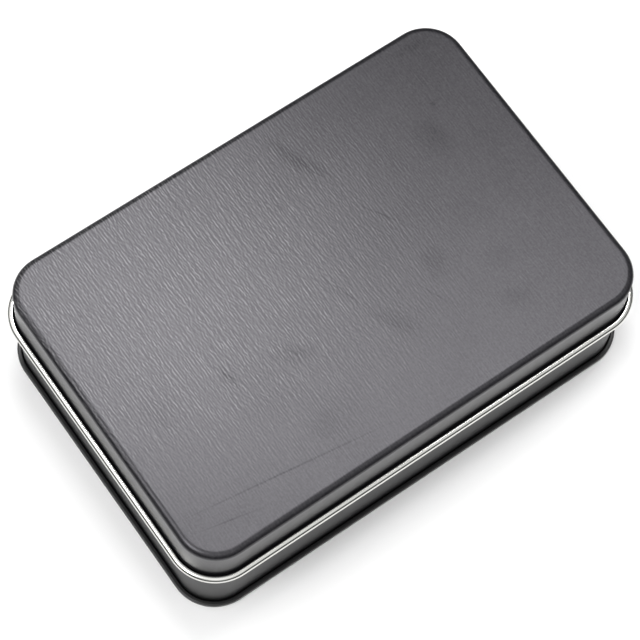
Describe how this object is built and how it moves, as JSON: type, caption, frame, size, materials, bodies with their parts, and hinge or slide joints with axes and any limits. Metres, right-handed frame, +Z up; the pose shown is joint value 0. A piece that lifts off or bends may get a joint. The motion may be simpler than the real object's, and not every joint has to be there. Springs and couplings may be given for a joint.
{
  "type": "dice storage tin",
  "caption": "Rectangular tinplate tin with a slip lid whose edge is curled into a bead, a seamed bottom, and a foam insert with a pocket for each die.",
  "frame": {"origin": "middle of the tin's footprint, on the surface it stands on", "axes": "+Z up out of the lid's panel, +X along the long side, +Y towards the back, where the side seam is"},
  "size_m": [0.1238, 0.085, 0.0357],
  "materials": {
    "lid_lacquer": "satin black lacquer with a fine brushed grain on the panel, bare tinplate bead",
    "body_lacquer": "glossy black lacquer",
    "foam": "closed cell foam, matt"
  },
  "bodies": {
    "tin": {"body_wall": "body_lacquer", "bottom_end": "body_lacquer", "foam_base": "foam", "foam_tray": "foam"},
    "lid": {"lid_shell": "lid_lacquer", "lid_pad": "foam"}
  },
  "joints": [
    {"name": "lid_lift", "type": "slide", "parent": "tin", "child": "lid", "axis": [0, 0, 1], "range_m": [0, 0.045]}
  ]
}
